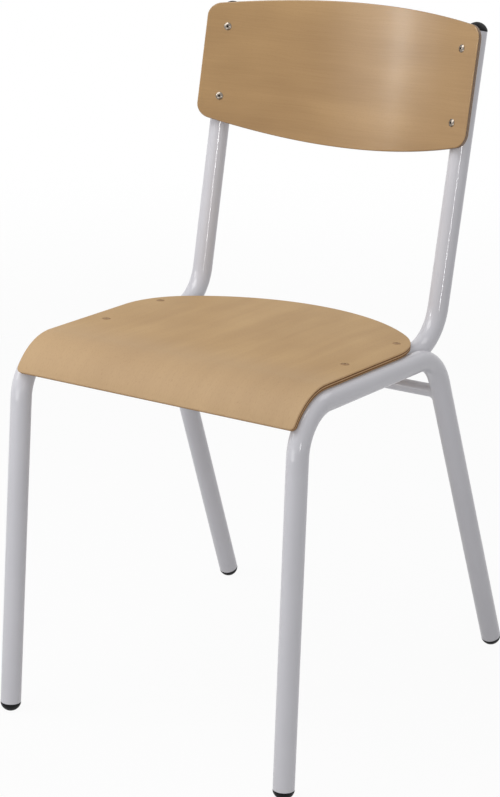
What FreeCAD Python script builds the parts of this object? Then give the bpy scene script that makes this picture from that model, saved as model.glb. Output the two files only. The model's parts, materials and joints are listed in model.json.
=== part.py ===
import FreeCAD, Part
import math
import os
import Sketcher

# School chair: bent tube frame with a moulded plywood seat and backrest.
# Millimetres and degrees. Origin on the floor under the middle of the chair,
# +Z up, the sitter faces -Y, +X is on the sitter's left.

doc = FreeCAD.newDocument("school_chair")
Vector = FreeCAD.Vector

# Driving dimensions
SIZES = [
    ("tube_diameter", 25.0, "frame tube, outside"),
    ("tube_wall", 1.5, "frame tube, wall"),
    ("tube_gap", 0.2, "between the rail and the bearer beside it"),
    ("rail_half_spacing", 194.6, "chair centre to rail centreline, at the reference section"),
    ("rail_height", 437.0, "floor to rail centreline, at the reference section"),
    ("rail_slope", 2.2, "rails and seat fall to the rear"),
    ("side_flare", 1.1, "each side frame opens to the rear"),
    ("side_lean", 1.0, "each side frame opens to the floor"),
    ("leg_end_height", 10.5, "floor to the tube's end, on its centreline"),
    ("front_foot_reach", 245.8, "reference section to the front leg's end"),
    ("rear_foot_reach", 245.2, "reference section to the rear leg's end"),
    ("front_rake", 5.0, "front leg from the vertical"),
    ("rear_rake", 20.9, "rear leg from the vertical"),
    ("front_bend_radius", 55.0, "front leg to rail, centreline"),
    ("rear_bend_radius", 60.0, "rail to rear leg, centreline"),
    ("bearer_front_reach", 140.0, "reference section to the bearer's front end"),
    ("upright_bend_radius", 57.0, "bearer to upright, centreline"),
    ("upright_recline", 13.0, "upright from the vertical"),
    ("upright_top_reach", 210.6, "reference section to the upright's top end"),
    ("upright_top_height", 798.5, "floor to the upright's top end"),
    ("cross_diameter", 16.0, "cross tubes, outside"),
    ("cross_wall", 1.2, "cross tubes, wall"),
    ("rear_cross_drop", 54.5, "rail centreline down to the rear cross tube's"),
    ("front_cross_reach", 105.0, "reference section to the front cross tube"),
    ("cross_weld_radius", 6.0, "fillet weld round a cross tube's end"),
    ("rail_weld_radius", 4.0, "bead in the groove between rail and bearer"),
    ("rail_weld_recess", 0.5, "bead's crown inside the tubes' common tangent"),
    ("rail_weld_clearance", 0.1, "bead to tube"),
    ("rail_weld_length", 30.0, "length of one bead"),
    ("rail_weld_pitch", 65.0, "bead to bead"),
    ("rail_weld_start", 125.0, "reference section to the first bead"),
    ("seat_thickness", 7.0, "plywood"),
    ("seat_clearance", 0.1, "seat to tube"),
    ("seat_edge_reach", 0.4, "rail centreline out to the seat's side edge"),
    ("seat_side_reach", 39.5, "reference section to the end of the seat's straight side"),
    ("seat_rear_reach", 140.5, "reference section to the middle of the rear edge"),
    ("seat_rear_corner", 106.0, "radius of the rear corners"),
    ("seat_front_corner", 6.0, "radius of the front corners"),
    ("seat_roll_angle", 60.5, "turn of the rolled front edge"),
    ("seat_rivet_front", 76.0, "reference section to the front rivets"),
    ("seat_rivet_rear", 39.0, "reference section to the rear rivets"),
    ("seat_rivet_sink", 1.0, "depth of the seats for the rivet heads"),
    ("back_thickness", 7.0, "plywood"),
    ("back_clearance", 0.25, "backrest to tube"),
    ("back_radius", 460.0, "front face, in plan"),
    ("back_end_overhang", 18.8, "upright's centreline to the backrest's end"),
    ("back_height", 178.5, "at the middle"),
    ("back_bow", 19.7, "drop of the top and bottom edges at the ends"),
    ("back_corner", 18.0, "radius of the corners"),
    ("back_centre_drop", 65.2, "upright's top end down to the middle of the backrest"),
    ("back_rivet_spacing", 87.5, "upper to lower rivet"),
    ("ply_edge_radius", 1.2, "rounded edges of both panels"),
    ("rivet_diameter", 4.8, "shank"),
    ("rivet_clearance", 0.1, "hole to shank, on the radius"),
    ("rivet_head_diameter", 9.5, "head"),
    ("rivet_head_height", 1.6, "head"),
    ("rivet_head_rim", 0.4, "cylindrical rim of the head"),
    ("rivet_head_gap", 0.05, "head to panel"),
    ("rivet_sink_clearance", 0.4, "head to its seat, on the radius"),
    ("rivet_bulb_diameter", 6.8, "upset end inside the tube"),
    ("rivet_bulb_length", 4.0, "upset end"),
    ("pin_diameter", 2.6, "broken-off pull pin"),
    ("pin_clearance", 0.05, "pin to rivet, on the radius"),
    ("pin_recess", 1.0, "pin's broken end below the panel's face"),
    ("pin_head_diameter", 4.4, "pin's head"),
    ("pin_head_length", 1.8, "pin's head"),
    ("cap_collar", 2.0, "straight edge of a tube cap"),
    ("foot_cap_height", 12.0, "tube end to the top of the dome, before the floor trims it"),
    ("end_cap_height", 10.5, "tube end to the top of the dome, on uprights and bearers"),
    ("cap_shank_length", 18.0, "plug inside the tube"),
    ("cap_clearance", 0.1, "plug to tube, on the radius"),
    ("trim_margin", 15.0, "blanks stand past their trimmed outline"),
]

# Dimensions that follow from the driving ones
DERIVED = [
    ("tube_radius", "Sizes.tube_diameter / 2"),
    ("bore_radius", "Sizes.tube_diameter / 2 - Sizes.tube_wall"),
    ("cross_radius", "Sizes.cross_diameter / 2"),
    ("tube_pitch", "Sizes.tube_diameter + Sizes.tube_gap"),
    ("bearer_half_spacing", "Sizes.rail_half_spacing - tube_pitch / cos(Sizes.side_flare)"),
    ("leg_drop", "(Sizes.rail_height - Sizes.leg_end_height) / cos(Sizes.side_lean)"),
    ("front_corner_reach", "(Sizes.front_foot_reach - leg_drop * tan(Sizes.front_rake))"
        " / (1 + tan(Sizes.rail_slope) * tan(Sizes.front_rake))"),
    ("rear_corner_reach", "(Sizes.rear_foot_reach - leg_drop * tan(Sizes.rear_rake))"
        " / (1 - tan(Sizes.rail_slope) * tan(Sizes.rear_rake))"),
    ("front_turn", "90 + Sizes.rail_slope - Sizes.front_rake"),
    ("upright_rise", "Sizes.upright_top_height - Sizes.rail_height"),
    ("upright_corner_reach", "(Sizes.upright_top_reach - upright_rise * tan(Sizes.upright_recline))"
        " / (1 - tan(Sizes.rail_slope) * tan(Sizes.upright_recline))"),
    ("rear_cross_height", "Sizes.rail_height - Sizes.rear_cross_drop"),
    ("rear_cross_reach", "Sizes.rear_foot_reach - tan(Sizes.rear_rake)"
        " * (rear_cross_height - Sizes.leg_end_height) / cos(Sizes.side_lean)"),
    ("rear_cross_half_length", "Sizes.rail_half_spacing + rear_cross_reach * sin(Sizes.side_flare)"
        " + Sizes.rear_cross_drop * tan(Sizes.side_lean)"),
    ("front_cross_half_length", "bearer_half_spacing - Sizes.front_cross_reach * sin(Sizes.side_flare)"),
    ("front_cross_height", "Sizes.rail_height + Sizes.front_cross_reach * tan(Sizes.rail_slope)"),
    ("rail_weld_depth", "tube_radius - Sizes.rail_weld_radius - Sizes.rail_weld_recess"),
    ("seat_lift", "tube_radius + Sizes.seat_clearance"),
    ("seat_shift", "seat_lift * tan(Sizes.rail_slope)"),
    ("roll_radius", "Sizes.front_bend_radius + seat_lift"),
    ("roll_reach", "front_corner_reach / cos(Sizes.rail_slope)"
        " - Sizes.front_bend_radius * tan(front_turn / 2) - seat_shift"),
    ("seat_half_width", "Sizes.rail_half_spacing + Sizes.seat_edge_reach"),
    ("seat_rear_half", "seat_half_width + Sizes.seat_side_reach * tan(Sizes.side_flare)"),
    ("seat_rear_sag", "Sizes.seat_rear_reach - Sizes.seat_side_reach"),
    ("seat_rear_radius", "(seat_rear_half^2 + seat_rear_sag^2) / (2 * seat_rear_sag)"),
    ("seat_front_reach", "roll_reach + roll_radius + Sizes.seat_thickness + Sizes.trim_margin"),
    ("seat_front_half", "seat_half_width - seat_front_reach * tan(Sizes.side_flare)"),
    ("back_centre_height", "Sizes.upright_top_height - Sizes.back_centre_drop"),
    ("back_reach", "Sizes.upright_top_reach - tan(Sizes.upright_recline) * Sizes.back_centre_drop"),
    ("upright_half_spacing", "bearer_half_spacing + back_reach * sin(Sizes.side_flare)"),
    ("back_half_width", "upright_half_spacing + Sizes.back_end_overhang"),
    ("back_rear_radius", "Sizes.back_radius + Sizes.back_thickness"),
    ("back_tube_radius", "back_rear_radius + tube_radius + Sizes.back_clearance"),
    ("back_focus", "sqrt(back_tube_radius^2 - upright_half_spacing^2)"),
    ("back_wrap", "asin(upright_half_spacing / back_tube_radius)"),
    ("back_half_height", "Sizes.back_height / 2"),
    ("back_end_half", "back_half_height - Sizes.back_bow"),
    ("back_bow_radius", "(back_half_width^2 + Sizes.back_bow^2) / (2 * Sizes.back_bow)"),
    ("back_blank_half", "back_half_width + Sizes.trim_margin"),
    ("rivet_radius", "Sizes.rivet_diameter / 2"),
    ("rivet_hole_radius", "rivet_radius + Sizes.rivet_clearance"),
    ("bulb_radius", "Sizes.rivet_bulb_diameter / 2"),
    ("bulb_sag", "bore_radius - sqrt(bore_radius^2 - bulb_radius^2)"),
    ("pin_radius", "Sizes.pin_diameter / 2"),
    ("pin_bore_radius", "pin_radius + Sizes.pin_clearance"),
    ("seat_grip", "Sizes.seat_thickness - Sizes.seat_rivet_sink + Sizes.seat_clearance"
        " + Sizes.tube_wall + Sizes.rivet_head_gap + bulb_sag"),
    ("back_grip", "Sizes.back_thickness + Sizes.back_clearance"
        " + Sizes.tube_wall + Sizes.rivet_head_gap + bulb_sag"),
    ("cap_shank_radius", "bore_radius - Sizes.cap_clearance"),
]

sizes = doc.addObject("Spreadsheet::Sheet", "Sizes")
for row, (alias, value, note) in enumerate(SIZES, start=1):
    sizes.set(f"A{row}", alias)
    sizes.set(f"B{row}", str(value))
    sizes.set(f"C{row}", note)
    sizes.setAlias(f"B{row}", alias)

derived = doc.addObject("Spreadsheet::Sheet", "Derived")
for row, (alias, formula) in enumerate(DERIVED, start=1):
    derived.set(f"A{row}", alias)
    derived.setAlias(f"B{row}", alias)
    derived.set(f"B{row}", "=" + formula)
doc.recompute()

SIDE_PLANE = FreeCAD.Placement(Vector(), FreeCAD.Rotation(Vector(1, 1, 1), 120))
FRONT_PLANE = FreeCAD.Placement(Vector(), FreeCAD.Rotation(Vector(1, 0, 0), 90))
PLAN_PLANE = FreeCAD.Placement()
SIDES = [("left", 1), ("right", -1)]
START, END, CENTRE = range(1, 4)
ORIGIN = (-1, 1)
NODES = []


def number(expression):
    """Present value of an expression in the two sheets."""
    return float(sizes.evalExpression(expression))


def placed(x, y, z, axis="0; 0; 1", angle="0"):
    """Expression for a placement: a base point and a turn about one axis."""
    return f"placement(vector({x}; {y}; {z}); rotation(vector({axis}); {angle}))"


def add(kind, name, placement=None, **values):
    """New object with its plain values and, where given, a bound placement."""
    item = doc.addObject(kind, name)
    for key, value in values.items():
        if isinstance(value, str):
            item.setExpression(key, value)
        else:
            setattr(item, key, value)
    if placement:
        item.setExpression("Placement", placement)
    return item


def named(item, label):
    """Give a finished sub-part its own name."""
    item.Label = label
    NODES.append(item)
    return item


def bind(sketch, kind, *place, value):
    """Add a dimension to a sketch and tie it to the sheets."""
    size = number(value)
    if kind == "Angle":
        size = math.radians(size)
    index = sketch.addConstraint(Sketcher.Constraint(kind, *place, size))
    sketch.setExpression(f"Constraints[{index}]", value)


def pin_point(sketch, geometry, end, x, y):
    """Tie one end of a line or arc to a point of the plane."""
    bind(sketch, "DistanceX", *ORIGIN, geometry, end, value=x)
    bind(sketch, "DistanceY", *ORIGIN, geometry, end, value=y)


def arc_geometry(start, end, radius, left):
    """Arc from start to end whose centre is on the left or the right of the way."""
    chord = end - start
    half = chord.Length / 2
    normal = Vector(-chord.y, chord.x, 0).normalize()
    offset = math.sqrt(max(radius ** 2 - half ** 2, 0.0))
    centre = (start + end) / 2 + normal * (offset if left else -offset)
    first, last = (start, end) if left else (end, start)
    angles = [math.atan2(p.y - centre.y, p.x - centre.x) for p in (first, last)]
    circle = Part.Circle(centre, Vector(0, 0, 1), radius)
    return Part.ArcOfCircle(circle, *angles)


def outline(name, plane, points, arcs=None):
    """Closed sketch through points given as expressions; arcs maps an edge to (radius, left)."""
    arcs = arcs or {}
    sketch = doc.addObject("Sketcher::SketchObject", name)
    sketch.Placement = plane
    spots = [Vector(number(x), number(y), 0) for x, y in points]
    ends = []
    for index, spot in enumerate(spots):
        following = spots[(index + 1) % len(spots)]
        if index in arcs:
            radius, left = arcs[index]
            sketch.addGeometry(arc_geometry(spot, following, number(radius), left))
            ends.append((START, END) if left else (END, START))
        else:
            sketch.addGeometry(Part.LineSegment(spot, following))
            ends.append((START, END))
    for index, (x, y) in enumerate(points):
        before = (index - 1) % len(points)
        joint = (before, ends[before][1], index, ends[index][0])
        sketch.addConstraint(Sketcher.Constraint("Coincident", *joint))
        pin_point(sketch, index, ends[index][0], x, y)
        if index in arcs:
            bind(sketch, "Radius", index, value=arcs[index][0])
    return sketch


def tangent_chain(sketch, pieces):
    """Join lines and arcs end to end, smoothly."""
    for (first, first_end), (second, second_end) in pieces:
        sketch.addConstraint(Sketcher.Constraint("Tangent", first, first_end, second, second_end))


def bend_points(before, corner, after, radius):
    """Tangent points of a bend at a corner, and the bend's arc."""
    inward = (before - corner).normalize()
    outward = (after - corner).normalize()
    setback = radius / math.tan(inward.getAngle(outward) / 2)
    start = corner + inward * setback
    end = corner + outward * setback
    left = (corner - before).cross(after - corner).z > 0
    return start, end, arc_geometry(start, end, radius, left)


def side_frame_path():
    """Centreline of a side frame: front leg, bend, rail, bend, rear leg."""
    slope = math.tan(math.radians(number("Sizes.rail_slope")))
    drop = number("Derived.leg_drop")
    front_reach = number("Derived.front_corner_reach")
    rear_reach = number("Derived.rear_corner_reach")
    front_foot = Vector(-number("Sizes.front_foot_reach"), -drop, 0)
    rear_foot = Vector(number("Sizes.rear_foot_reach"), -drop, 0)
    front = Vector(-front_reach, front_reach * slope, 0)
    rear = Vector(rear_reach, -rear_reach * slope, 0)
    front_radius = number("Sizes.front_bend_radius")
    rear_radius = number("Sizes.rear_bend_radius")
    front_top, rail_start, front_arc = bend_points(front_foot, front, rear, front_radius)
    rail_end, rear_top, rear_arc = bend_points(front, rear, rear_foot, rear_radius)
    sketch = doc.addObject("Sketcher::SketchObject", "side_frame_path")
    sketch.Placement = SIDE_PLANE
    front_leg = sketch.addGeometry(Part.LineSegment(front_foot, front_top))
    front_bend = sketch.addGeometry(front_arc)
    rail = sketch.addGeometry(Part.LineSegment(rail_start, rail_end))
    rear_bend = sketch.addGeometry(rear_arc)
    rear_leg = sketch.addGeometry(Part.LineSegment(rear_top, rear_foot))
    tangent_chain(sketch, [
        ((front_leg, END), (front_bend, END)),
        ((front_bend, START), (rail, START)),
        ((rail, END), (rear_bend, END)),
        ((rear_bend, START), (rear_leg, START)),
    ])
    sketch.addConstraint(Sketcher.Constraint("PointOnObject", *ORIGIN, rail))
    bind(sketch, "Angle", rail, value="-Sizes.rail_slope")
    bind(sketch, "Angle", front_leg, value="90 - Sizes.front_rake")
    bind(sketch, "Angle", rear_leg, value="Sizes.rear_rake - 90")
    bind(sketch, "Radius", front_bend, value="Sizes.front_bend_radius")
    bind(sketch, "Radius", rear_bend, value="Sizes.rear_bend_radius")
    pin_point(sketch, front_leg, START, "-Sizes.front_foot_reach", "-Derived.leg_drop")
    pin_point(sketch, rear_leg, END, "Sizes.rear_foot_reach", "-Derived.leg_drop")
    return sketch


def back_upright_path():
    """Centreline of a back upright: bearer under the seat, bend, upright."""
    slope = math.tan(math.radians(number("Sizes.rail_slope")))
    front_reach = number("Sizes.bearer_front_reach")
    corner_reach = number("Derived.upright_corner_reach")
    front = Vector(-front_reach, front_reach * slope, 0)
    corner = Vector(corner_reach, -corner_reach * slope, 0)
    top = Vector(number("Sizes.upright_top_reach"), number("Derived.upright_rise"), 0)
    bearer_end, upright_start, arc = bend_points(front, corner, top, number("Sizes.upright_bend_radius"))
    sketch = doc.addObject("Sketcher::SketchObject", "back_upright_path")
    sketch.Placement = SIDE_PLANE
    bearer = sketch.addGeometry(Part.LineSegment(front, bearer_end))
    bend = sketch.addGeometry(arc)
    upright = sketch.addGeometry(Part.LineSegment(upright_start, top))
    tangent_chain(sketch, [
        ((bearer, END), (bend, START)),
        ((bend, END), (upright, START)),
    ])
    sketch.addConstraint(Sketcher.Constraint("PointOnObject", *ORIGIN, bearer))
    bind(sketch, "Angle", bearer, value="-Sizes.rail_slope")
    bind(sketch, "DistanceX", *ORIGIN, bearer, START, value="-Sizes.bearer_front_reach")
    bind(sketch, "Angle", upright, value="90 - Sizes.upright_recline")
    bind(sketch, "Radius", bend, value="Sizes.upright_bend_radius")
    pin_point(sketch, upright, END, "Sizes.upright_top_reach", "Derived.upright_rise")
    return sketch


# The tube's seam lies underneath, clear of the seat and of the tube beside it
SEAM_ANGLE = -90.0


def ring(path, radius):
    """Round section square to the first edge of a path."""
    sketch = doc.addObject("Sketcher::SketchObject", path.Name + "_section")
    sketch.AttachmentSupport = [(path, "Edge1")]
    sketch.MapMode = "NormalToEdge"
    sketch.AttachmentOffset = FreeCAD.Placement(Vector(), FreeCAD.Rotation(Vector(0, 0, 1), SEAM_ANGLE))
    circle = sketch.addGeometry(Part.Circle(Vector(), Vector(0, 0, 1), number(radius)))
    sketch.addConstraint(Sketcher.Constraint("Coincident", circle, CENTRE, *ORIGIN))
    bind(sketch, "Radius", circle, value=radius)
    return sketch


def sweep(name, path, section, placement):
    """Round bar along a whole path."""
    edges = [f"Edge{index + 1}" for index in range(path.GeometryCount)]
    return add("Part::Sweep", name, placement, Sections=[section], Spine=(path, edges), Solid=True)


def cut(name, base, tool):
    return add("Part::Cut", name, Base=base, Tool=tool)


def fuse(name, shapes):
    return add("Part::MultiFuse", name, Shapes=shapes)


def extruded(name, profile, direction, length):
    """Solid of a closed sketch, to both sides of its plane."""
    return add("Part::Extrusion", name, Base=profile, Dir=direction, LengthFwd=length,
               Solid=True, Symmetric=True)


def group(label, items):
    """Several solids in one sub-part."""
    return named(add("Part::Compound", label, Links=items), label)


def rounded(name, base, radius, chosen):
    """Fillet of one radius on the edges that a test chooses."""
    doc.recompute()
    size = number(radius)
    edges = base.Shape.Edges
    picks = [(index + 1, size, size) for index, edge in enumerate(edges) if chosen(base.Shape, edge)]
    return add("Part::Fillet", name, Base=base, Edges=picks)


def face_turn(shape, edge):
    """Angle in degrees between the two faces at the middle of an edge."""
    spot = edge.valueAt((edge.FirstParameter + edge.LastParameter) / 2)
    faces = shape.ancestorsOfType(edge, Part.Face)
    if len(faces) < 2:
        return 0.0
    normals = [face.normalAt(*face.Surface.parameter(spot)) for face in faces]
    return math.degrees(normals[0].getAngle(normals[1]))


SHARP_ANGLE = 15.0
EDGE_SAMPLE_COUNT = 7
ON_SURFACE = 1e-4


def sharp(shape, edge):
    return face_turn(shape, edge) > SHARP_ANGLE


# Places of the two sides. Each side frame is turned out to the rear and leans out to the floor.
def side_place(sign):
    turn = placed(f"{sign} * Sizes.rail_half_spacing", "0", "Sizes.rail_height",
                  angle=f"{-sign} * Sizes.side_flare")
    return turn + " * " + placed("0", "0", "0", "0; 1; 0", f"{-sign} * Sizes.side_lean")


def bearer_place(sign):
    return placed(f"{sign} * Derived.bearer_half_spacing", "0", "Sizes.rail_height",
                  angle=f"{-sign} * Sizes.side_flare")


def along_bearer(sign, reach, lift, across="0"):
    """A point along a bearer, lifted square to the seat; local Z is square to the seat."""
    tilt = placed("0", "0", "0", "1; 0; 0", "-Sizes.rail_slope")
    return bearer_place(sign) + " * " + tilt + " * " + placed(across, reach, lift)


SEAT_PLACE = placed("0", "0", "Sizes.rail_height + Derived.seat_lift / cos(Sizes.rail_slope)",
                    "1; 0; 0", "-Sizes.rail_slope")
BACK_PLACE = placed("0", "Derived.back_reach * cos(Sizes.side_flare)", "Derived.back_centre_height",
                    "1; 0; 0", "-Sizes.upright_recline")


# Rivets: places first, because the panels and tubes are drilled for them
def seat_rivet_place(sign, reach):
    lift = "Derived.seat_lift + Sizes.seat_thickness - Sizes.seat_rivet_sink + Sizes.rivet_head_gap"
    return along_bearer(sign, reach, lift)


def back_rivet_place(sign, level):
    face = "(Sizes.back_radius - Sizes.rivet_head_gap)"
    spot = placed(f"{sign} * {face} * sin(Derived.back_wrap)",
                  f"{face} * cos(Derived.back_wrap) - Derived.back_focus",
                  level, angle=f"{-sign} * Derived.back_wrap")
    return BACK_PLACE + " * " + spot + " * " + placed("0", "0", "0", "1; 0; 0", "90")


SEAT_REACHES = ["-Sizes.seat_rivet_front", "Sizes.seat_rivet_rear"]
BACK_LEVELS = ["-Sizes.back_rivet_spacing / 2", "Sizes.back_rivet_spacing / 2"]


def drill(name, place):
    """Drill from the rivet's head to the middle of the tube."""
    depth = "Sizes.tube_diameter / 2 + Sizes.trim_margin"
    start = placed("0", "0", "-Derived.tube_radius - Sizes.seat_thickness")
    return add("Part::Cylinder", name, place + " * " + start, Radius="Derived.rivet_hole_radius",
               Height=depth)


def head_sink(name, place):
    """Cutter for the flat seat under a rivet's head."""
    start = placed("0", "0", "-Sizes.rivet_head_gap")
    radius = "Sizes.rivet_head_diameter / 2 + Sizes.rivet_sink_clearance"
    return add("Part::Cylinder", name, place + " * " + start, Radius=radius, Height="Sizes.trim_margin")


seat_places = {side: [seat_rivet_place(sign, reach) for reach in SEAT_REACHES] for side, sign in SIDES}
back_places = {side: [back_rivet_place(sign, level) for level in BACK_LEVELS] for side, sign in SIDES}
seat_drills = {}
back_drills = {}
seat_sinks = []
for side, sign in SIDES:
    seat_drills[side] = [drill("seat_drill", place) for place in seat_places[side]]
    back_drills[side] = [drill("back_drill", place) for place in back_places[side]]
    seat_sinks += [head_sink("seat_sink", place) for place in seat_places[side]]

# Bent tubes of the two sides
frame_path = side_frame_path()
upright_path = back_upright_path()
doc.recompute()
frame_skin = ring(frame_path, "Derived.tube_radius")
frame_bore = ring(frame_path, "Derived.bore_radius")
upright_skin = ring(upright_path, "Derived.tube_radius")
upright_bore = ring(upright_path, "Derived.bore_radius")
frame_bars = {}
upright_bars = {}
for side, sign in SIDES:
    frame_bars[side] = sweep("frame_bar", frame_path, frame_skin, side_place(sign))
    frame_hollow = sweep("frame_hollow", frame_path, frame_bore, side_place(sign))
    named(cut("side_frame", frame_bars[side], frame_hollow), f"side_frame_{side}")
    upright_bars[side] = sweep("upright_bar", upright_path, upright_skin, bearer_place(sign))
    upright_hollow = sweep("upright_hollow", upright_path, upright_bore, bearer_place(sign))
    upright_tube = cut("upright_tube", upright_bars[side], upright_hollow)
    upright_drills = fuse("upright_drills", seat_drills[side] + back_drills[side])
    named(cut("back_upright", upright_tube, upright_drills), f"back_upright_{side}")


# Cross tubes, with their ends shaped to the tubes that they meet, and a weld bead round each end
def saddle_test(sign, reach, height, radius):
    """Test for the edge where a cross tube runs into the tube at one of its ends."""
    def chosen(shape, edge):
        spots = edge.discretize(EDGE_SAMPLE_COUNT)
        misses = [math.hypot(p.y - reach, p.z - height) - radius for p in spots]
        on_cross_tube = all(abs(miss) < ON_SURFACE for miss in misses)
        on_this_side = sign * edge.CenterOfMass.x > 0
        return on_cross_tube and on_this_side and edge.BoundBox.XLength < radius
    return chosen


def cross_tube(where, half_length, reach, height, bars):
    label = f"{where}_cross_tube"
    weld = f"{where}_cross_weld"
    place = placed(f"-({half_length})", reach, height, "0; 1; 0", "90")
    length = f"2 * ({half_length})"
    bar = add("Part::Cylinder", label + "_bar", place, Radius="Derived.cross_radius", Height=length)
    bore = add("Part::Cylinder", label + "_bore", place, Radius="Derived.cross_radius - Sizes.cross_wall",
               Height=length)
    shell = cut(label + "_shell", bar, bore)
    named(cut(label, shell, fuse(label + "_ends", list(bars.values()))), label)
    for side, sign in SIDES:
        saddle = saddle_test(sign, number(reach), number(height), number("Derived.cross_radius"))
        joined = fuse(weld + "_joined", [bar, bars[side]])
        filleted = rounded(weld + "_filleted", joined, "Sizes.cross_weld_radius", saddle)
        tubes = fuse(weld + "_tubes", [bar, bars[side]])
        named(cut(weld, filleted, tubes), f"{weld}_{side}")


cross_tube("rear", "Derived.rear_cross_half_length",
           "Derived.rear_cross_reach * cos(Sizes.side_flare)", "Derived.rear_cross_height", frame_bars)
cross_tube("front", "Derived.front_cross_half_length",
           "-Sizes.front_cross_reach * cos(Sizes.side_flare)", "Derived.front_cross_height", upright_bars)

# Beads along the groove under each rail and bearer
RAIL_WELDS = 3


def bar_along_bearer(name, sign, start, lift, across, radius, length):
    """Round bar beside a bearer, parallel to it, with its seam underneath."""
    place = along_bearer(sign, start, lift, f"{sign} * {across}")
    place += " * " + placed("0", "0", "0", "1; 0; 0", "-90") + " * " + placed("0", "0", "0", angle="90")
    return add("Part::Cylinder", name, place, Radius=radius, Height=length)


for side, sign in SIDES:
    beads = []
    for index in range(RAIL_WELDS):
        start = f"{index} * Sizes.rail_weld_pitch - Sizes.rail_weld_start"
        beads.append(bar_along_bearer("rail_weld_bead", sign, start, "-Derived.rail_weld_depth",
                                      "Derived.tube_pitch / 2", "Sizes.rail_weld_radius",
                                      "Sizes.rail_weld_length"))
    groove_start = "-Sizes.rail_weld_start - Sizes.trim_margin"
    groove_length = f"{RAIL_WELDS} * Sizes.rail_weld_pitch + 2 * Sizes.trim_margin"
    groove_radius = "Derived.tube_radius + Sizes.rail_weld_clearance"
    grooves = [bar_along_bearer("rail_weld_groove", sign, groove_start, "0", across,
                                groove_radius, groove_length)
               for across in ("0", "Derived.tube_pitch")]
    clear_of_bearer = cut("rail_weld_row", fuse("rail_weld_beads", beads), grooves[0])
    named(cut("rail_welds", clear_of_bearer, grooves[1]), f"rail_welds_{side}")

# Seat: rolled section, trimmed to its outline in plan, drilled for the rivets
roll_sine = "sin(Sizes.seat_roll_angle)"
roll_cosine = "cos(Sizes.seat_roll_angle)"
outer_radius = "(Derived.roll_radius + Sizes.seat_thickness)"
rear_end = "Sizes.seat_rear_reach + Sizes.trim_margin"
seat_section = outline("seat_section", SIDE_PLANE, [
    (rear_end, "0"),
    (rear_end, "Sizes.seat_thickness"),
    ("-Derived.roll_reach", "Sizes.seat_thickness"),
    (f"-Derived.roll_reach - {outer_radius} * {roll_sine}",
     f"{outer_radius} * {roll_cosine} - Derived.roll_radius"),
    (f"-Derived.roll_reach - Derived.roll_radius * {roll_sine}",
     f"Derived.roll_radius * ({roll_cosine} - 1)"),
    ("-Derived.roll_reach", "0"),
], arcs={2: (outer_radius, True), 4: ("Derived.roll_radius", False)})
seat_outline = outline("seat_outline", PLAN_PLANE, [
    ("-Derived.seat_front_half", "-Derived.seat_front_reach"),
    ("Derived.seat_front_half", "-Derived.seat_front_reach"),
    ("Derived.seat_rear_half", "Sizes.seat_side_reach"),
    ("-Derived.seat_rear_half", "Sizes.seat_side_reach"),
], arcs={2: ("Derived.seat_rear_radius", True)})
seat_strip = extruded("seat_strip", seat_section, Vector(1, 0, 0),
                      "2 * (Derived.seat_rear_half + Sizes.trim_margin)")
seat_block = extruded("seat_block", seat_outline, Vector(0, 0, 1), "4 * Derived.roll_radius")
seat_blank = add("Part::Common", "seat_blank", Base=seat_strip, Tool=seat_block)


def through_edge(shape, edge, thickness):
    """True for a straight sharp edge as long as the plywood is thick."""
    return len(edge.Vertexes) == 2 and edge.Length < 2 * thickness and sharp(shape, edge)


seat_sheet = number("Sizes.seat_thickness")
seat_rear = rounded("seat_rear_corners", seat_blank, "Sizes.seat_rear_corner",
                    lambda shape, edge: through_edge(shape, edge, seat_sheet) and edge.CenterOfMass.y > 0)
seat_front = rounded("seat_front_corners", seat_rear, "Sizes.seat_front_corner",
                     lambda shape, edge: through_edge(shape, edge, seat_sheet))
seat_round = rounded("seat_edges", seat_front, "Sizes.ply_edge_radius", sharp)
seat_round.setExpression("Placement", SEAT_PLACE)
seat_cutters = fuse("seat_cutters", seat_drills["left"] + seat_drills["right"] + seat_sinks)
named(cut("seat", seat_round, seat_cutters), "seat_panel")

# Backrest: curved in plan, trimmed to its outline from the front, drilled for the rivets
front_depth = "sqrt(Sizes.back_radius^2 - Derived.back_blank_half^2) - Derived.back_focus"
rear_depth = "sqrt(Derived.back_rear_radius^2 - Derived.back_blank_half^2) - Derived.back_focus"
back_section = outline("back_section", PLAN_PLANE, [
    ("-Derived.back_blank_half", front_depth),
    ("-Derived.back_blank_half", rear_depth),
    ("Derived.back_blank_half", rear_depth),
    ("Derived.back_blank_half", front_depth),
], arcs={1: ("Derived.back_rear_radius", False), 3: ("Sizes.back_radius", True)})
back_outline = outline("back_outline", FRONT_PLANE, [
    ("-Derived.back_half_width", "-Derived.back_end_half"),
    ("Derived.back_half_width", "-Derived.back_end_half"),
    ("Derived.back_half_width", "Derived.back_end_half"),
    ("-Derived.back_half_width", "Derived.back_end_half"),
], arcs={0: ("Derived.back_bow_radius", True), 2: ("Derived.back_bow_radius", True)})
back_strip = extruded("back_strip", back_section, Vector(0, 0, 1),
                      "Sizes.back_height + 2 * Sizes.trim_margin")
back_block = extruded("back_block", back_outline, Vector(0, 1, 0), "4 * Derived.back_half_width")
back_blank = add("Part::Common", "back_blank", Base=back_strip, Tool=back_block)
back_sheet = number("Sizes.back_thickness")
back_corners = rounded("back_corners", back_blank, "Sizes.back_corner",
                       lambda shape, edge: through_edge(shape, edge, back_sheet))
back_round = rounded("back_edges", back_corners, "Sizes.ply_edge_radius", sharp)
back_round.setExpression("Placement", BACK_PLACE)
back_cutters = fuse("back_cutters", back_drills["left"] + back_drills["right"])
named(cut("back", back_round, back_cutters), "back_panel")


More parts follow.
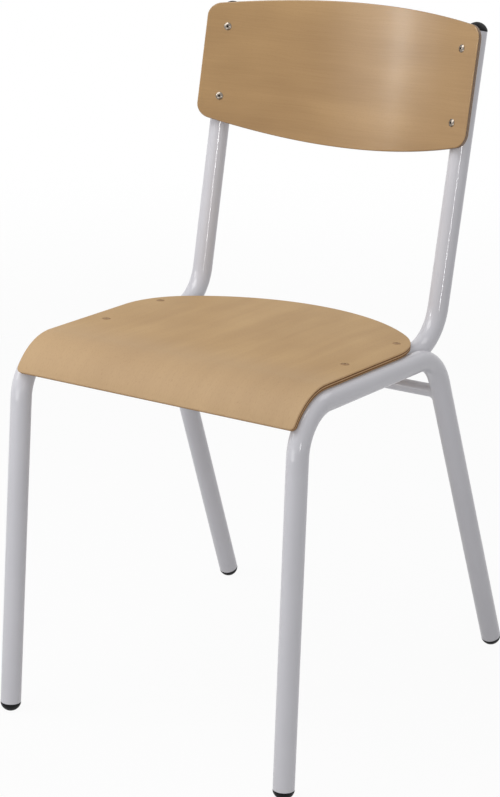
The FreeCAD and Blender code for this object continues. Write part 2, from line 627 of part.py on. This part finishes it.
# Blind rivets and their pins, turned about their own axis, with the head on +Z
def rivet_profile(name, grip):
    bottom = f"-{grip} - Sizes.rivet_bulb_length"
    head_radius = "Sizes.rivet_head_diameter / 2"
    dome_rise = "(Sizes.rivet_head_height - Sizes.rivet_head_rim)"
    dome_run = f"({head_radius} - Derived.pin_bore_radius)"
    return outline(name, FRONT_PLANE, [
        ("Derived.pin_bore_radius", bottom),
        ("Derived.rivet_radius", bottom),
        ("Derived.bulb_radius", f"{bottom} + Derived.bulb_radius - Derived.rivet_radius"),
        ("Derived.bulb_radius", f"-{grip}"),
        ("Derived.rivet_radius", f"-{grip}"),
        ("Derived.rivet_radius", "0"),
        (head_radius, "0"),
        (head_radius, "Sizes.rivet_head_rim"),
        ("Derived.pin_bore_radius", "Sizes.rivet_head_height"),
    ], arcs={7: (f"({dome_run}^2 + {dome_rise}^2) / (2 * {dome_rise})", True)})


def pin_profile(name, grip):
    bottom = f"-{grip} - Sizes.rivet_bulb_length"
    head_radius = "Sizes.pin_head_diameter / 2"
    return outline(name, FRONT_PLANE, [
        ("0", f"{bottom} - Sizes.pin_head_length"),
        (head_radius, f"{bottom} - Sizes.pin_head_length"),
        (head_radius, bottom),
        ("Derived.pin_radius", bottom),
        ("Derived.pin_radius", "-Sizes.pin_recess"),
        ("0", "-Sizes.pin_recess"),
    ])


def turned(name, profile, place):
    """Solid of revolution about its own Z axis."""
    return add("Part::Revolution", name, place, Source=profile, Axis=Vector(0, 0, 1), Angle=360.0, Solid=True)


RIVETED = [("seat", "Derived.seat_grip", seat_places), ("back", "Derived.back_grip", back_places)]
for panel, grip, places in RIVETED:
    spots = places["left"] + places["right"]
    rivet = rivet_profile(panel + "_rivet_profile", grip)
    pin = pin_profile(panel + "_pin_profile", grip)
    group(f"{panel}_rivets", [turned("rivet", rivet, spot) for spot in spots])
    group(f"{panel}_rivet_pins", [turned("rivet_pin", pin, spot) for spot in spots])


# Tube caps: a plug inside the tube and a domed end, with the dome on +Z
def cap_profile(name, height):
    rise = f"({height} - Sizes.cap_collar)"
    return outline(name, FRONT_PLANE, [
        ("0", "-Sizes.cap_shank_length"),
        ("Derived.cap_shank_radius", "-Sizes.cap_shank_length"),
        ("Derived.cap_shank_radius", "0"),
        ("Derived.tube_radius", "0"),
        ("Derived.tube_radius", "Sizes.cap_collar"),
        ("0", height),
    ], arcs={4: (f"(Derived.tube_radius^2 + {rise}^2) / (2 * {rise})", True)})


foot_cap_profile = cap_profile("foot_cap_profile", "Sizes.foot_cap_height")
end_cap_profile = cap_profile("end_cap_profile", "Sizes.end_cap_height")

# The floor trims a flat tread under each foot
floor_half = "2 * Sizes.rear_foot_reach"
floor = add("Part::Box", "floor", placed(f"-{floor_half}", f"-{floor_half}", "-Sizes.trim_margin"),
            Length=f"2 * {floor_half}", Width=f"2 * {floor_half}", Height="Sizes.trim_margin")
TURN_AXIS = "1; 0; 0"
leg_ends = {
    "front": placed("0", "-Sizes.front_foot_reach", "-Derived.leg_drop", TURN_AXIS, "180 - Sizes.front_rake"),
    "rear": placed("0", "Sizes.rear_foot_reach", "-Derived.leg_drop", TURN_AXIS, "180 + Sizes.rear_rake"),
}
top_end = placed("0", "Sizes.upright_top_reach", "Derived.upright_rise", TURN_AXIS, "-Sizes.upright_recline")
bearer_end = placed("0", "-Sizes.bearer_front_reach", "Sizes.bearer_front_reach * tan(Sizes.rail_slope)",
                    TURN_AXIS, "90 - Sizes.rail_slope")
for side, sign in SIDES:
    for where, end in leg_ends.items():
        foot = turned("foot_cap_blank", foot_cap_profile, side_place(sign) + " * " + end)
        named(cut("foot_cap", foot, floor), f"foot_cap_{where}_{side}")
    upright_cap = turned("upright_cap", end_cap_profile, bearer_place(sign) + " * " + top_end)
    named(upright_cap, f"upright_cap_{side}")
    bearer_plug = turned("bearer_plug", end_cap_profile, bearer_place(sign) + " * " + bearer_end)
    named(bearer_plug, f"bearer_plug_{side}")

doc.recompute()

for item in doc.Objects:
    if "Invalid" in item.State or "Error" in item.State:
        raise RuntimeError(f"{item.Label} did not build: {item.State}")
for item in NODES:
    if item.Shape.isNull() or not item.Shape.isValid() or not item.Shape.Solids:
        raise RuntimeError(f"{item.Label} has no valid solid")

os.makedirs("parts", exist_ok=True)
for item in NODES:
    item.Shape.exportStep(os.path.join("parts", item.Label + ".step"))
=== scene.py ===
import json
import math

import bpy
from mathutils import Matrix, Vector

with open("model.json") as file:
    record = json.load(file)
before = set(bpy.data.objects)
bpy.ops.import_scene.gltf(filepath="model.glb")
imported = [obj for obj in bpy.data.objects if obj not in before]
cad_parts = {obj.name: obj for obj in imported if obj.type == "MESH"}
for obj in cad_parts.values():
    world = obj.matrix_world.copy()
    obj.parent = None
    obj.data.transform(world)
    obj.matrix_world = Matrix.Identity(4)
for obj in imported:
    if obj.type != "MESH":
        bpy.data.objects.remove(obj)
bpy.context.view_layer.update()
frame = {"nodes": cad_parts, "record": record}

# School chair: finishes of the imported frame, the floor, the light and the camera.
# Metres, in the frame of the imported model: +Z up, the sitter faces -Y.

MM = 0.001
SIDEWAYS = Vector((1.0, 0.0, 0.0))
REARWARD = Vector((0.0, 1.0, 0.0))

# Moulded plywood, as built
PLY_THICKNESS = 7.0 * MM
PLY_LAYERS = 5
SEAT_ROLL_RADIUS = 74.6 * MM
SEAT_ROLL_START = 132.2 * MM
BACK_RADIUS = 460.0 * MM
BACK_RECLINE = math.radians(13.0)
BACK_AXIS_POINT = Vector((0.0, -240.4 * MM, 834.0 * MM))

# Camera, from the photograph's perspective, with its angles in degrees
IMAGE_HEIGHT = 797
FOCAL_PIXELS = 2044.5
CAMERA_AZIMUTH = 33.30
CAMERA_ELEVATION = 18.41
CAMERA_DISTANCE = 2.4825
CAMERA_TARGET = Vector((-0.00934, 0.0, 0.3655))

# White of the background, which a strength of 1 gives
WHITE = (1.0, 1.0, 1.0, 1.0)
WHITE_STRENGTH = 1.0

# Range that holds most values of a noise texture
NOISE_LOW = 0.3
NOISE_HIGH = 0.7

# A Mix node has sockets for each kind of data, and these are the ones for colours
MIX_COLOURS_IN = (6, 7)
MIX_COLOUR_OUT = 2


class Nodes:
    """A node tree, emptied and then written node by node."""

    def __init__(self, tree):
        self.tree = tree
        self.tree.nodes.clear()

    def feed(self, socket, value):
        if isinstance(value, bpy.types.NodeSocket):
            self.tree.links.new(value, socket)
        else:
            socket.default_value = value

    def add(self, kind, inputs=None, **settings):
        node = self.tree.nodes.new(kind)
        for key, value in settings.items():
            setattr(node, key, value)
        for key, value in (inputs or {}).items():
            self.feed(node.inputs[key], value)
        return node

    def calc(self, operation, *values):
        return self.add("ShaderNodeMath", dict(enumerate(values)), operation=operation).outputs["Value"]

    def times(self, value, factor):
        return self.calc("MULTIPLY", value, factor)

    def seen(self):
        """1 for what the camera sees, mirrored or through glass too, and 0 for light on the object."""
        rays = self.add("ShaderNodeLightPath").outputs
        camera_or_mirror = self.calc("MAXIMUM", rays["Is Camera Ray"], rays["Is Glossy Ray"])
        return self.calc("MAXIMUM", camera_or_mirror, rays["Is Transmission Ray"])

    def mix_shaders(self, share, first, second):
        return self.add("ShaderNodeMixShader", {0: share, 1: first.outputs[0], 2: second.outputs[0]})


class Finish(Nodes):
    """A procedural material."""

    def __init__(self, name):
        self.material = bpy.data.materials.new(name)
        self.material.use_nodes = True
        super().__init__(self.material.node_tree)

    def position(self):
        return self.add("ShaderNodeTexCoord").outputs["Object"]

    def dot(self, vector, direction):
        node = self.add("ShaderNodeVectorMath", {0: vector, 1: direction}, operation="DOT_PRODUCT")
        return node.outputs["Value"]

    def length(self, vector):
        return self.add("ShaderNodeVectorMath", {0: vector}, operation="LENGTH").outputs["Value"]

    def combine(self, x, y):
        return self.add("ShaderNodeCombineXYZ", {"X": x, "Y": y}).outputs["Vector"]

    def noise(self, vector, scale, detail=2.0):
        inputs = {"Vector": vector, "Scale": scale, "Detail": detail}
        return self.add("ShaderNodeTexNoise", inputs).outputs["Fac"]

    def grain_noise(self, u, v, per_metre, detail=2.0):
        """Noise with one frequency along the grain and another across it."""
        along, across = per_metre
        return self.noise(self.combine(self.times(u, along), self.times(v, across)), 1.0, detail)

    def remap(self, value, low, high, to_low=0.0, to_high=1.0, smooth=False):
        inputs = {"Value": value, "From Min": low, "From Max": high, "To Min": to_low, "To Max": to_high}
        kind = "SMOOTHSTEP" if smooth else "LINEAR"
        return self.add("ShaderNodeMapRange", inputs, interpolation_type=kind, clamp=True).outputs["Result"]

    def vary(self, noise, span):
        """A number that follows a noise across a span."""
        return self.remap(noise, NOISE_LOW, NOISE_HIGH, *span)

    def ramp(self, value, first, second, low=NOISE_LOW, high=NOISE_HIGH):
        node = self.add("ShaderNodeValToRGB", {"Fac": value})
        for point, place, colour in zip(node.color_ramp.elements, (low, high), (first, second)):
            point.position = place
            point.color = (*colour, 1.0)
        return node.outputs["Color"]

    def blend(self, share, first, second):
        node = self.add("ShaderNodeMix", {"Factor": share}, data_type="RGBA")
        for index, value in zip(MIX_COLOURS_IN, (first, second)):
            linked = isinstance(value, bpy.types.NodeSocket)
            self.feed(node.inputs[index], value if linked else (*value, 1.0))
        return node.outputs[MIX_COLOUR_OUT]

    def bump(self, height, strength, distance):
        inputs = {"Height": height, "Strength": strength, "Distance": distance}
        return self.add("ShaderNodeBump", inputs).outputs["Normal"]

    def surface(self, **inputs):
        sockets = {key.replace("_", " "): value for key, value in inputs.items()}
        shader = self.add("ShaderNodeBsdfPrincipled", sockets)
        self.add("ShaderNodeOutputMaterial", {"Surface": shader.outputs["BSDF"]})
        return self.material


# Light grey powder coat: a gloss skin with a faint orange peel, and ripples on the welds
PAINT_DEEP = (0.566, 0.560, 0.597)
PAINT_PALE = (0.594, 0.588, 0.625)
PAINT_CLOUDS_PER_METRE = 9.0
PAINT_ROUGHNESS = (0.34, 0.42)
PAINT_DULL_SPOTS_PER_METRE = 40.0
PAINT_SPECULAR = 0.2
PAINT_COAT_WEIGHT = 0.3
PAINT_COAT_IOR = 2.0
PAINT_COAT_ROUGHNESS = 0.05
PEEL_PER_METRE = 750.0
PEEL_STRENGTH = 0.04
PEEL_DEPTH = 0.2 * MM
WELD_RIPPLES_PER_METRE = 260.0
WELD_RIPPLE = 4.0


def powder_coat(name, ripple=0.0):
    """ripple is the height of a weld's ripples, as a multiple of the orange peel's."""
    finish = Finish(name)
    place = finish.position()
    cloud = finish.noise(place, PAINT_CLOUDS_PER_METRE, detail=3.0)
    height = finish.noise(place, PEEL_PER_METRE, detail=1.0)
    if ripple:
        waves = finish.noise(place, WELD_RIPPLES_PER_METRE, detail=0.0)
        height = finish.calc("ADD", height, finish.times(waves, ripple))
    dull_spots = finish.noise(place, PAINT_DULL_SPOTS_PER_METRE)
    return finish.surface(
        Base_Color=finish.ramp(cloud, PAINT_DEEP, PAINT_PALE),
        Roughness=finish.vary(dull_spots, PAINT_ROUGHNESS),
        Specular_IOR_Level=PAINT_SPECULAR,
        Coat_Weight=PAINT_COAT_WEIGHT,
        Coat_IOR=PAINT_COAT_IOR,
        Coat_Roughness=PAINT_COAT_ROUGHNESS,
        Normal=finish.bump(height, PEEL_STRENGTH, PEEL_DEPTH))


# Beech plywood: lacquered veneer on the faces, bare layers on the edges
SEAT_BEECH_PALE = (0.513, 0.337, 0.163)
SEAT_BEECH_DEEP = (0.393, 0.245, 0.111)
# Paler, whiter colour of the seat's rolled front: painted sheen, standing in for the lamps' reflection
# there
SEAT_BEECH_SHEEN = (0.450, 0.315, 0.195)
# The backrest's veneer: the seat's beech darkened, as painted shade on the backrest
SHADED_BACK_BEECH_PALE = (0.423, 0.259, 0.110)
SHADED_BACK_BEECH_DEEP = (0.322, 0.188, 0.076)
BEECH_FLECK = (0.300, 0.170, 0.075)
EDGE_LONG_GRAIN = (0.64, 0.40, 0.20)
EDGE_END_GRAIN = (0.190, 0.090, 0.035)
# Dark colour of glue lines and stains, which on the backrest's edge is painted shade too
GLUE_STAIN_AND_SHADE = (0.05, 0.022, 0.008)

# The veneer's figure: frequencies per metre along and across the grain, and how much of each shows
SWAYS = (5.0, 14.0)
SWAY_REACH = 20.0 * MM
BANDS = (2.6, 34.0)
BAND_SHARE = 0.38
STREAKS = (14.0, 640.0)
STREAK_SHARE = 0.20
CLOUDS = (7.0, 11.0)
CLOUD_SHARE = 0.42
TONE_DEEP = 0.34
TONE_PALE = 0.66
FLECKS = (260.0, 1900.0)
FLECK_START = 0.66
FLECK_FULL = 0.74
FLECK_SHARE = 0.35
# Share of the painted sheen on the seat's rolled front
SHEEN_SHARE = 0.4
STREAK_PORES = 0.5
PORE_STRENGTH = 0.03
PORE_DEPTH = 0.15 * MM

# The bare edge: the depths below a face where it starts and is full, its stains and painted shade, and its
# glue lines, which are measured from the seam between two layers as a share of a layer
EDGE_START = 0.35 * MM
EDGE_FULL = 0.75 * MM
EDGE_EXTRA_ROUGHNESS = 0.25
STAINS_PER_METRE = 900.0
STAIN_START = 0.35
STAIN_FULL = 0.65
GLUE_FULL = 0.03
GLUE_END = 0.10
GLUE_SHARE = 0.8


def veneer(finish, u, v, deep, pale):
    """Colour of the wood, with the streaks and the flecks that mark its lacquer too."""
    sway = finish.grain_noise(u, v, SWAYS)
    v_wavy = finish.calc("ADD", v, finish.times(sway, SWAY_REACH))
    band = finish.grain_noise(u, v_wavy, BANDS, detail=3.0)
    streak = finish.grain_noise(u, v_wavy, STREAKS, detail=3.0)
    cloud = finish.grain_noise(u, v, CLOUDS)
    grain = finish.calc("ADD", finish.times(band, BAND_SHARE), finish.times(streak, STREAK_SHARE))
    tone = finish.calc("ADD", grain, finish.times(cloud, CLOUD_SHARE))
    spots = finish.grain_noise(u, v, FLECKS, detail=0.0)
    fleck = finish.remap(spots, FLECK_START, FLECK_FULL, smooth=True)
    return finish.ramp(tone, deep, pale, TONE_DEEP, TONE_PALE), streak, fleck


def bare_layers(finish, place, depth, stain_and_shade):
    """Colour of a cut edge: layers by turns along and across the grain, stained and darkened with painted
    shade, with glue between them.
    """
    layer = finish.calc("DIVIDE", depth, PLY_THICKNESS / PLY_LAYERS)
    crossed = finish.calc("GREATER_THAN", finish.calc("MODULO", layer, 2.0), 1.0)
    bare = finish.blend(crossed, EDGE_LONG_GRAIN, EDGE_END_GRAIN)
    # Darkening of the edge: stains, and on the backrest painted shade as well
    stain_and_shade_share = finish.remap(finish.noise(place, STAINS_PER_METRE), STAIN_START, STAIN_FULL, *stain_and_shade)
    stained_and_shaded = finish.blend(stain_and_shade_share, bare, GLUE_STAIN_AND_SHADE)
    from_seam = finish.calc("PINGPONG", layer, 0.5)
    glue = finish.remap(from_seam, GLUE_FULL, GLUE_END, GLUE_SHARE, 0.0)
    return finish.blend(glue, stained_and_shaded, GLUE_STAIN_AND_SHADE)


def edge_share(finish, depth):
    """1 between the two faces, 0 on them."""
    half = PLY_THICKNESS / 2
    from_middle = finish.calc("ABSOLUTE", finish.calc("SUBTRACT", depth, half))
    return finish.remap(from_middle, half - EDGE_FULL, half - EDGE_START, 1.0, 0.0)


def plywood(name, along, across, depth_of, deep, pale, roughness, specular, stain_and_shade,
            sheen_of=None, sheen_colour=None):
    """A panel's finish, with along and across as the directions of its grain.

    depth_of gives the depth below the face. The last two arguments give how far the face has turned to a
    paler colour, and that colour: a painted sheen.
    roughness, and the share of stain and painted shade on the bare edge, are spans from the least to the
    most.
    """
    finish = Finish(name)
    place = finish.position()
    depth = depth_of(finish, place)
    face, streak, fleck = veneer(finish, finish.dot(place, along), finish.dot(place, across), deep, pale)
    if sheen_of:
        face = finish.blend(finish.times(sheen_of(finish, place), SHEEN_SHARE), face, sheen_colour)
    face = finish.blend(finish.times(fleck, FLECK_SHARE), face, BEECH_FLECK)
    on_edge = edge_share(finish, depth)
    edge_roughness = finish.times(on_edge, EDGE_EXTRA_ROUGHNESS)
    pores = finish.calc("ADD", finish.times(streak, STREAK_PORES), fleck)
    return finish.surface(
        Base_Color=finish.blend(on_edge, face, bare_layers(finish, place, depth, stain_and_shade)),
        Roughness=finish.calc("ADD", finish.vary(streak, roughness), edge_roughness),
        Specular_IOR_Level=specular,
        Normal=finish.bump(pores, PORE_STRENGTH, PORE_DEPTH))


# The seat: flat, then rolled down at the front, where a paler colour is painted on as sheen. The sheen's
# start and full extent are distances in front of the place where the roll starts
seat_mount = next(mount for mount in frame["record"]["mounts"] if mount["name"] == "seat_top")
SEAT_TOP = Vector(seat_mount["pos_m"])
SEAT_UP = Vector(seat_mount["axis"])
SEAT_REAR = SEAT_UP.cross(SIDEWAYS)
SHEEN_START = -70.0 * MM
SHEEN_FULL = 20.0 * MM


def seat_depth(finish, place):
    """Depth below the seat's top face, round its rolled front."""
    from_roll = finish.calc("ADD", finish.dot(place, SEAT_REAR), SEAT_ROLL_START - SEAT_TOP.dot(SEAT_REAR))
    past_roll = finish.calc("MINIMUM", from_roll, 0.0)
    rise = finish.calc("ADD", finish.dot(place, SEAT_UP), SEAT_ROLL_RADIUS - SEAT_TOP.dot(SEAT_UP))
    return finish.calc("SUBTRACT", SEAT_ROLL_RADIUS, finish.length(finish.combine(past_roll, rise)))


def seat_painted_sheen(finish, place):
    """1 on the rolled front, where a paler colour is painted on as sheen, and 0 on the flat of the seat."""
    forward = finish.calc("SUBTRACT", SEAT_TOP.y - SEAT_ROLL_START, finish.dot(place, REARWARD))
    return finish.remap(forward, SHEEN_START, SHEEN_FULL, smooth=True)


# The backrest: bent round a reclined axis in front of it
BACK_UP = Vector((0.0, math.sin(BACK_RECLINE), math.cos(BACK_RECLINE)))
BACK_REAR = Vector((0.0, math.cos(BACK_RECLINE), -math.sin(BACK_RECLINE)))


def back_depth(finish, place):
    """Depth behind the backrest's front face."""
    across = finish.dot(place, SIDEWAYS)
    rear = finish.calc("SUBTRACT", finish.dot(place, BACK_REAR), BACK_AXIS_POINT.dot(BACK_REAR))
    return finish.calc("SUBTRACT", finish.length(finish.combine(across, rear)), BACK_RADIUS)


# Black moulded plastic of the caps and plugs
PLASTIC_DEEP = (0.003, 0.003, 0.0033)
PLASTIC_PALE = (0.008, 0.008, 0.0088)
PLASTIC_CLOUDS_PER_METRE = 60.0
PLASTIC_ROUGHNESS = (0.42, 0.58)
PLASTIC_SPECULAR = 0.13
PLASTIC_GRAIN_PER_METRE = 1400.0
PLASTIC_GRAIN_STRENGTH = 0.15
PLASTIC_GRAIN_DEPTH = 0.1 * MM


def moulded_plastic(name):
    finish = Finish(name)
    place = finish.position()
    cloud = finish.noise(place, PLASTIC_CLOUDS_PER_METRE)
    grain = finish.noise(place, PLASTIC_GRAIN_PER_METRE)
    return finish.surface(
        Base_Color=finish.ramp(cloud, PLASTIC_DEEP, PLASTIC_PALE),
        Roughness=finish.vary(grain, PLASTIC_ROUGHNESS),
        Specular_IOR_Level=PLASTIC_SPECULAR,
        Normal=finish.bump(grain, PLASTIC_GRAIN_STRENGTH, PLASTIC_GRAIN_DEPTH))


# Rivets and their pins. The rivets' dark, warm colours are painted reflections of the wood round them,
# brown and not metallic on the seat, and the pins' near black is painted shade in the rivets' holes
RIVET_SPECULAR = 0.3
RIVET_DULL_SPOTS_PER_METRE = 1500.0
SCUFFS_PER_METRE = 700.0
SCUFF_STRENGTH = 0.1
SCUFF_DEPTH = 0.05 * MM


def rivet_finish(name, deep, pale, roughness, metallic=1.0):
    finish = Finish(name)
    place = finish.position()
    scuff = finish.noise(place, SCUFFS_PER_METRE, detail=3.0)
    dull_spots = finish.noise(place, RIVET_DULL_SPOTS_PER_METRE)
    return finish.surface(
        Base_Color=finish.ramp(scuff, deep, pale),
        Metallic=metallic,
        Roughness=finish.vary(dull_spots, roughness),
        Specular_IOR_Level=RIVET_SPECULAR,
        Normal=finish.bump(scuff, SCUFF_STRENGTH, SCUFF_DEPTH))


finishes = {
    "frame_paint": powder_coat("frame_paint"),
    "weld_paint": powder_coat("weld_paint", ripple=WELD_RIPPLE),
    "seat_plywood": plywood(
        "seat_plywood", along=REARWARD, across=SIDEWAYS, depth_of=seat_depth,
        deep=SEAT_BEECH_DEEP, pale=SEAT_BEECH_PALE, roughness=(0.58, 0.66), specular=0.35,
        stain_and_shade=(0.0, 0.2), sheen_of=seat_painted_sheen, sheen_colour=SEAT_BEECH_SHEEN),
    # The backrest: darker veneer, and a heavier stain on its bare edge, both painted shade
    "back_plywood": plywood(
        "back_plywood", along=SIDEWAYS, across=BACK_UP, depth_of=back_depth,
        deep=SHADED_BACK_BEECH_DEEP, pale=SHADED_BACK_BEECH_PALE, roughness=(0.21, 0.25), specular=0.5,
        stain_and_shade=(0.5, 0.8)),
    "cap_plastic": moulded_plastic("cap_plastic"),
    # The backrest's rivets: dark, warm metal, a painted reflection of the wood round them
    "rivet_metal": rivet_finish(
        "rivet_metal", deep=(0.17, 0.145, 0.12), pale=(0.29, 0.25, 0.21), roughness=(0.17, 0.28)),
    # The seat's rivets: brown and not metallic, a painted reflection of the wood round them
    "seat_rivet_painted_reflection": rivet_finish(
        "seat_rivet_painted_reflection", deep=(0.27, 0.16, 0.075), pale=(0.35, 0.22, 0.11), roughness=(0.5, 0.6),
        metallic=0.0),
    # The pins: near black, painted shade in the holes of the rivets
    "pin_steel": rivet_finish(
        "pin_steel", deep=(0.005, 0.0045, 0.004), pale=(0.015, 0.013, 0.012), roughness=(0.5, 0.65)),
}


def finish_name(node, slot):
    """The slot's own finish, apart from welds, the seat's rivets and the two panels."""
    if "weld" in node:
        return "weld_paint"
    if node == "seat_rivets":
        return "seat_rivet_painted_reflection"
    if slot == "plywood":
        return node.replace("panel", "plywood")
    return slot


slots = {part["node"]: part["material_slot"] for part in frame["record"]["subparts"]}
for node, item in frame["nodes"].items():
    item.data.materials.clear()
    item.data.materials.append(finishes[finish_name(node, slots[node])])


# Floor: pale, white to the camera where nothing shades it, fading out to the background
FLOOR_RADIUS = 4.0
FLOOR_CORNERS = 96
FLOOR_FADE_START = 1.2
FLOOR_FADE_END = 3.2
FLOOR_LIFT = 0.95
FLOOR_DEEP = (0.60, 0.60, 0.60)
FLOOR_PALE = (0.64, 0.64, 0.64)
FLOOR_CLOUDS_PER_METRE = 1.5


def floor_material():
    finish = Finish("studio_floor")
    place = finish.position()
    colour = finish.ramp(finish.noise(place, FLOOR_CLOUDS_PER_METRE), FLOOR_DEEP, FLOOR_PALE)
    shaded = finish.add("ShaderNodeBsdfDiffuse", {"Color": colour})
    white = finish.add("ShaderNodeEmission", {"Color": WHITE, "Strength": WHITE_STRENGTH})
    lifted = finish.mix_shaders(finish.times(finish.seen(), FLOOR_LIFT), shaded, white)
    clear = finish.add("ShaderNodeBsdfTransparent")
    fade = finish.remap(finish.length(place), FLOOR_FADE_START, FLOOR_FADE_END, smooth=True)
    faded = finish.mix_shaders(fade, lifted, clear)
    finish.add("ShaderNodeOutputMaterial", {"Surface": faded.outputs[0]})
    return finish.material


bpy.ops.mesh.primitive_circle_add(vertices=FLOOR_CORNERS, radius=FLOOR_RADIUS, fill_type="NGON")
floor = bpy.context.object
floor.name = "floor"
floor.data.materials.append(floor_material())


# World: white to the camera and in reflections, a plain soft level for the light itself
WORLD_LIGHT = 0.40

world = bpy.data.worlds.new("studio")
bpy.context.scene.world = world
world.use_nodes = True
sky = Nodes(world.node_tree)
ambient = sky.add("ShaderNodeBackground", {"Color": WHITE, "Strength": WORLD_LIGHT})
shown = sky.add("ShaderNodeBackground", {"Color": WHITE, "Strength": WHITE_STRENGTH})
either = sky.mix_shaders(sky.seen(), ambient, shown)
sky.add("ShaderNodeOutputWorld", {"Surface": either.outputs[0]})


def aim(item, target, azimuth, elevation, distance):
    """Add a lamp or camera that looks at a target. The azimuth runs from -Y towards +X, in degrees."""
    turn = math.radians(azimuth)
    lift = math.radians(elevation)
    away = Vector((math.cos(lift) * math.sin(turn), -math.cos(lift) * math.cos(turn), math.sin(lift)))
    item.location = target + away * distance
    item.rotation_euler = away.to_track_quat("Z", "Y").to_euler()
    bpy.context.scene.collection.objects.link(item)


# Lamps: soft boxes from the left and above, fills all round, a strip for the backrest's upright highlight
# and one for the thin bright lines on the uprights
LIGHT_TARGET = Vector((0.0, 0.0, 0.45))


def lamp(name, azimuth, elevation, distance, width, height, power):
    light = bpy.data.lights.new(name, "AREA")
    light.shape = "RECTANGLE"
    light.size = width
    light.size_y = height
    light.energy = power
    item = bpy.data.objects.new(name, light)
    item.visible_camera = False
    aim(item, LIGHT_TARGET, azimuth, elevation, distance)


lamp("key_softbox", azimuth=-50, elevation=40, distance=1.3, width=0.7, height=0.9, power=3.1)
lamp("top_softbox", azimuth=-40, elevation=65, distance=1.8, width=1.0, height=1.0, power=12.8)
lamp("front_fill", azimuth=-10, elevation=-2, distance=1.4, width=0.8, height=0.4, power=2.8)
lamp("left_strip", azimuth=-50, elevation=27, distance=2.4, width=0.14, height=0.9, power=4.6)
lamp("right_strip", azimuth=46.5, elevation=10, distance=3.2, width=0.3, height=0.65, power=10.0)
lamp("right_fill", azimuth=85, elevation=8, distance=2.0, width=1.4, height=1.0, power=1.5)
lamp("rear_fill", azimuth=150, elevation=50, distance=2.2, width=1.0, height=1.0, power=5.0)

# Camera: upright frame, so the sensor's size spans the image's height
camera_data = bpy.data.cameras.new("camera")
camera_data.lens = FOCAL_PIXELS * camera_data.sensor_width / IMAGE_HEIGHT
camera = bpy.data.objects.new("camera", camera_data)
aim(camera, CAMERA_TARGET, CAMERA_AZIMUTH, CAMERA_ELEVATION, CAMERA_DISTANCE)
bpy.context.scene.camera = camera
bpy.context.scene.view_settings.view_transform = "Standard"
